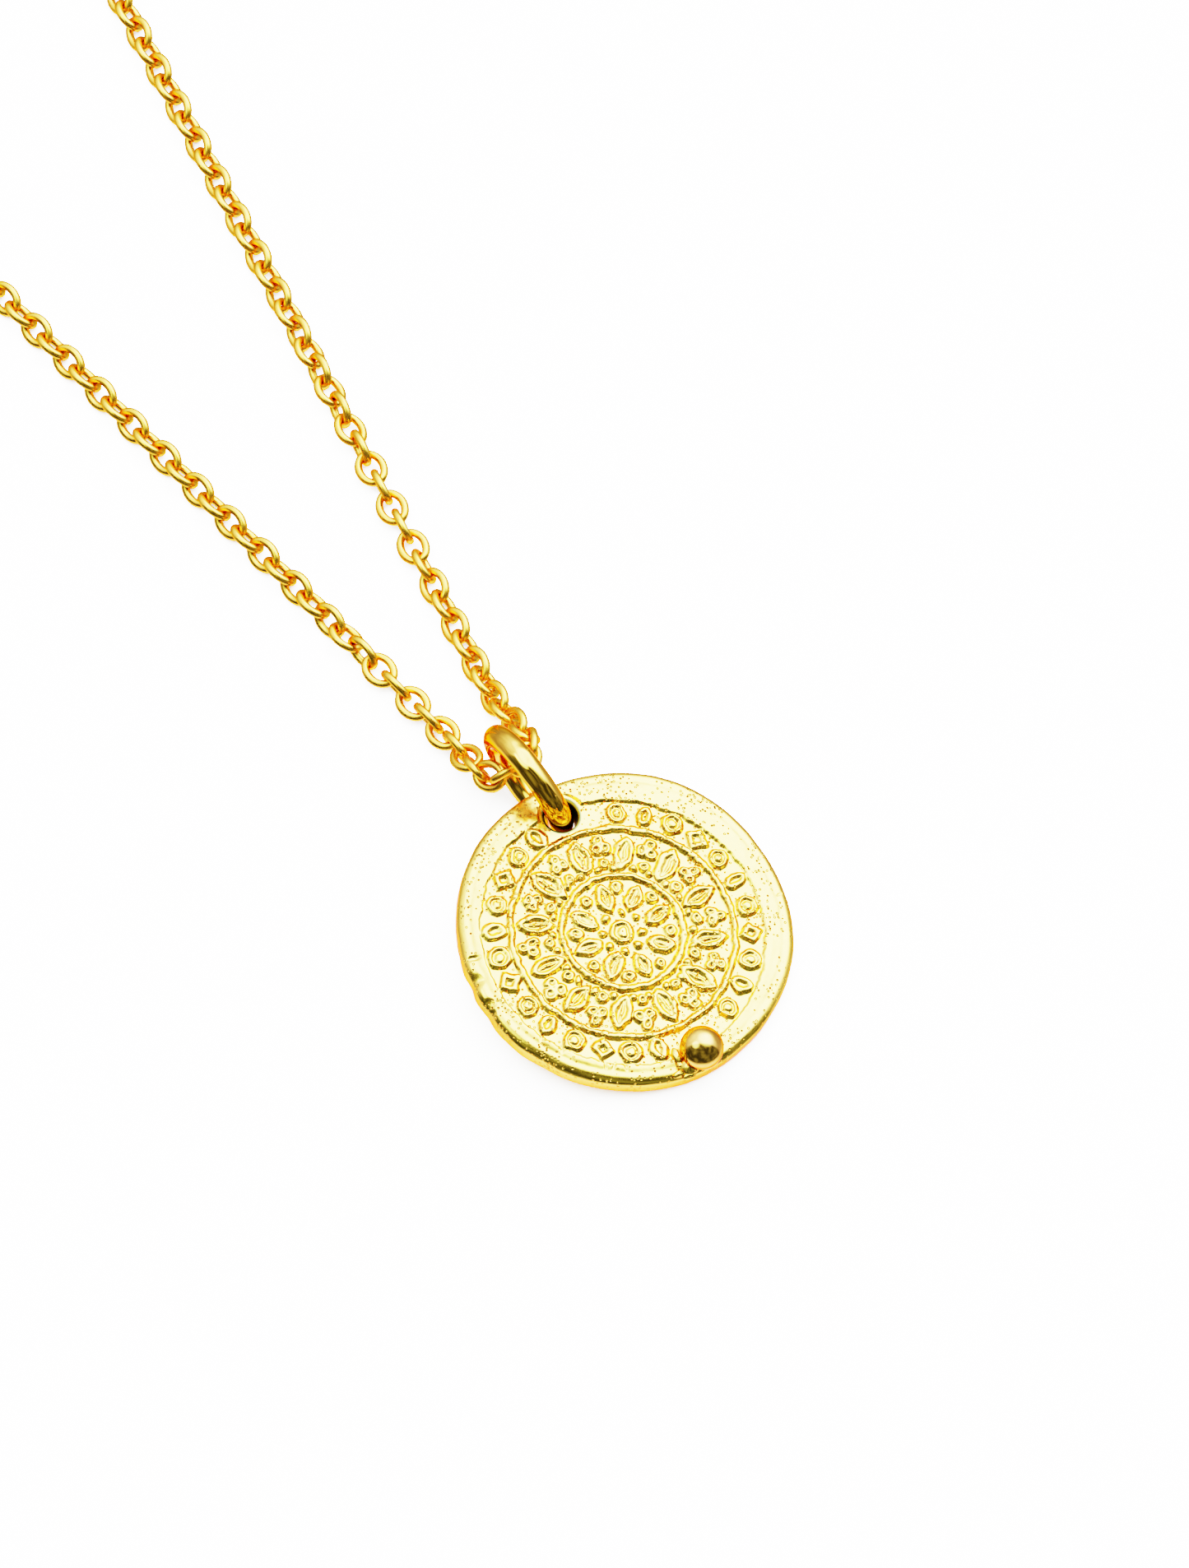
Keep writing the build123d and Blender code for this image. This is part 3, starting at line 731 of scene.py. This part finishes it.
def newLinkTree(name, inputs, result):
    # a tree with its sockets, and what its input node gives
    tree = bpy.data.node_groups.new(name, "GeometryNodeTree")
    for socket, kind in inputs.items():
        tree.interface.new_socket(name=socket, in_out="INPUT", socket_type=kind)
    tree.interface.new_socket(name=result, in_out="OUTPUT", socket_type="NodeSocketGeometry")
    return tree, addNode(tree, "NodeGroupInput").outputs


def ovalLinkTree():
    # one link: a circle of wire, stretched along X
    tree, given = newLinkTree("ovalLink", linkSockets, "Link")
    wide = addNode(tree, "ShaderNodeMath", {"operation": "SUBTRACT"},
                   {0: given["Link width"], 1: given["Wire"]})
    long = addNode(tree, "ShaderNodeMath", {"operation": "SUBTRACT"},
                   {0: given["Link length"], 1: given["Wire"]})
    bend = addNode(tree, "ShaderNodeMath", {"operation": "MULTIPLY", 1: 0.5}, {0: wide.outputs[0]})
    loop = addNode(tree, "GeometryNodeCurvePrimitiveCircle", None,
                   {"Resolution": given["Sides along"], "Radius": bend.outputs[0]})
    stretch = addNode(tree, "ShaderNodeMath", {"operation": "DIVIDE"},
                      {0: long.outputs[0], 1: wide.outputs[0]})
    scale = addNode(tree, "ShaderNodeCombineXYZ", {"Y": 1.0, "Z": 1.0}, {"X": stretch.outputs[0]})
    oval = addNode(tree, "GeometryNodeTransform", None,
                   {"Geometry": loop.outputs["Curve"], "Scale": scale.outputs[0]})
    half = addNode(tree, "ShaderNodeMath", {"operation": "MULTIPLY", 1: 0.5}, {0: given["Wire"]})
    profile = addNode(tree, "GeometryNodeCurvePrimitiveCircle", None,
                      {"Resolution": given["Sides about"], "Radius": half.outputs[0]})
    body = addNode(tree, "GeometryNodeCurveToMesh", None,
                   {"Curve": oval.outputs[0], "Profile Curve": profile.outputs["Curve"]})
    smooth = addNode(tree, "GeometryNodeSetShadeSmooth", None, {"Geometry": body.outputs[0]})
    addNode(tree, "NodeGroupOutput", None, {"Link": smooth.outputs[0]})
    return tree


def layLinks(tree, given, oval, points, rotation):
    # puts one link on each point and turns the lot into plain mesh
    shape = addNode(tree, "GeometryNodeGroup", {"node_tree": oval})
    for name in linkSockets:
        tree.links.new(given[name], shape.inputs[name])
    laid = addNode(tree, "GeometryNodeInstanceOnPoints", None,
                   {"Points": points, "Instance": shape.outputs[0], "Rotation": rotation})
    real = addNode(tree, "GeometryNodeRealizeInstances", None, {"Geometry": laid.outputs[0]})
    dressed = addNode(tree, "GeometryNodeSetMaterial", {"Material": goldChainWire},
                      {"Geometry": real.outputs[0]})
    addNode(tree, "NodeGroupOutput", None, {"Geometry": dressed.outputs[0]})


def placedLinksTree(oval):
    # links where points with a turn of their own stand
    tree, given = newLinkTree("placedLinks", {"Geometry": "NodeSocketGeometry", **linkSockets}, "Geometry")
    turnOf = addNode(tree, "GeometryNodeInputNamedAttribute",
                     {"data_type": "FLOAT_VECTOR", "Name": "linkTurn"})
    rotation = addNode(tree, "FunctionNodeEulerToRotation", None, {0: turnOf.outputs[0]})
    layLinks(tree, given, oval, given["Geometry"], rotation.outputs[0])
    return tree


def followingLinksTree(oval):
    # links evenly along a curve, each turned a quarter from the one before, with a little play
    tree, given = newLinkTree(
        "followingLinks", {"Geometry": "NodeSocketGeometry", **linkSockets, **followSockets}, "Geometry")
    route = addNode(tree, "GeometryNodeResampleCurve", {"mode": "COUNT"},
                    {"Curve": given["Geometry"], "Count": given["Links"]})
    tangent = addNode(tree, "GeometryNodeInputTangent")
    number = addNode(tree, "GeometryNodeInputIndex")
    aimed = addNode(tree, "FunctionNodeAlignRotationToVector", {"axis": "X"}, {"Vector": tangent.outputs[0]})
    odd = addNode(tree, "ShaderNodeMath", {"operation": "MODULO", 1: 2.0}, {0: number.outputs[0]})
    quarter = addNode(tree, "ShaderNodeMath", {"operation": "MULTIPLY", 1: math.pi / 2}, {0: odd.outputs[0]})
    start = addNode(tree, "ShaderNodeMath", {"operation": "ADD"},
                    {0: quarter.outputs[0], 1: given["First roll"]})
    less = addNode(tree, "ShaderNodeMath", {"operation": "MULTIPLY", 1: -1.0}, {0: given["Play"]})
    play = addNode(tree, "FunctionNodeRandomValue", {"data_type": "FLOAT"},
                   {2: less.outputs[0], 3: given["Play"], "Seed": given["Seed"]})
    roll = addNode(tree, "ShaderNodeMath", {"operation": "ADD"}, {0: start.outputs[0], 1: play.outputs[1]})
    about = addNode(tree, "FunctionNodeAxisAngleToRotation", {"Axis": (1, 0, 0)}, {"Angle": roll.outputs[0]})
    rotation = addNode(tree, "FunctionNodeRotateRotation", {"rotation_space": "LOCAL"},
                       {"Rotation": aimed.outputs[0], "Rotate By": about.outputs[0]})
    layLinks(tree, given, oval, route.outputs[0], rotation.outputs[0])
    return tree


def runTree(source, tree, values, name):
    # the tree's result as a plain mesh object
    modifier = source.modifiers.new("links", "NODES")
    modifier.node_group = tree
    sockets = {item.name: item.identifier for item in tree.interface.items_tree if item.in_out == "INPUT"}
    for socket, value in values.items():
        modifier[sockets[socket]] = value
    bpy.context.view_layer.update()
    evaluated = source.evaluated_get(bpy.context.evaluated_depsgraph_get())
    mesh = bpy.data.meshes.new_from_object(evaluated)
    source.modifiers.remove(modifier)
    bpy.data.objects.remove(source)
    mesh.name = name
    return addObject(name, mesh)


def linkPlaces(node):
    # middle and turn of every loose link of a CAD node, in metres
    mesh = bmesh.new()
    mesh.from_mesh(node.data)
    bmesh.ops.remove_doubles(mesh, verts=mesh.verts, dist=weldWithin)
    mesh.verts.index_update()
    edges = np.array([[e.verts[0].index, e.verts[1].index] for e in mesh.edges])
    points = np.array([v.co for v in mesh.verts])
    mesh.free()
    # each vertex takes the lowest number that it can reach, so that every link ends with one number
    label = np.arange(len(points))
    while True:
        low = np.minimum(label[edges[:, 0]], label[edges[:, 1]])
        after = label.copy()
        np.minimum.at(after, edges[:, 0], low)
        np.minimum.at(after, edges[:, 1], low)
        after = after[after]
        if (after == label).all():
            break
        label = after
    # a link is longest along its length and thinnest through its face
    places = []
    for group in np.unique(label):
        cloud = points[label == group]
        middle = cloud.mean(0)
        _, ways = np.linalg.eigh(np.cov((cloud - middle).T))
        along, face = Vector(ways[:, 2]), Vector(ways[:, 0])
        if along.y < 0:
            along = -along
        turned = Matrix((along, face.cross(along), face)).transposed()
        places.append((Vector(middle), turned))
    return places


def layNearLinks(places, oval):
    # the strands that show, a link where each of the solid's stands
    mesh = bpy.data.meshes.new("linkPoints")
    mesh.from_pydata([place for place, _ in places], [], [])
    turns = mesh.attributes.new("linkTurn", "FLOAT_VECTOR", "POINT")
    turns.data.foreach_set("vector", [angle for _, turned in places for angle in turned.to_euler()])
    piece = runTree(addObject("linkPoints", mesh), placedLinksTree(oval), linkValues(link["nearSides"]),
                    "near_links")
    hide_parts("chain_front")
    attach(piece, "root")
    print("near links:", len(places), "links,", len(piece.data.polygons), "faces")


def farRoute(name, control):
    # a smooth curve along the given places, and its length, in metres
    curve = bpy.data.curves.new(name, "CURVE")
    curve.dimensions = "3D"
    spline = curve.splines.new("NURBS")
    spline.points.add(len(control) - 1)
    for point, spot in zip(spline.points, control):
        point.co = (*spot, 1)
    spline.order_u = routeCurve["order"]
    spline.use_endpoint_u = True
    spline.resolution_u = routeCurve["resolution"]
    return addObject(name, curve), spline.calc_length()


def layFarLinks(places, oval):
    # the rest of the loop, from the last link on each side along its route to the clasp or the end ring
    tree = followingLinksTree(oval)
    pitch = link["pitch"] * mm
    for side, points in farRoutes.items():
        sign = -1 if side == "left" else 1
        strand = [place for place in places if place[0].x * sign > 0]
        last, turned = max(strand, key=lambda place: place[0].y)
        start = last + turned.col[0] * pitch
        route, length = farRoute(side + "Route", [start] + [Vector(point) * mm for point in points])
        count = round(length / pitch) + 1
        piece = runTree(route, tree, {
            **linkValues(link["farSides"]), "Links": count, "First roll": math.radians(link["firstRoll"]),
            "Play": math.radians(link["play"]), "Seed": link["seed"]}, side + "_far_links")
        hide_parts("chain_back")
        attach(piece, "root")
        print(side, "far links:", count, "links,", len(piece.data.polygons), "faces")


def buildChain():
    oval = ovalLinkTree()
    places = linkPlaces(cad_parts["chain_front"])
    layNearLinks(places, oval)
    layFarLinks(places, oval)


buildChain()


# clasp and end ring keep their CAD shapes

for name in ("clasp", "end_ring"):
    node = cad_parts[name]
    node.data.materials.clear()
    node.data.materials.append(goldRingWire)
print("clasp and end ring plated")
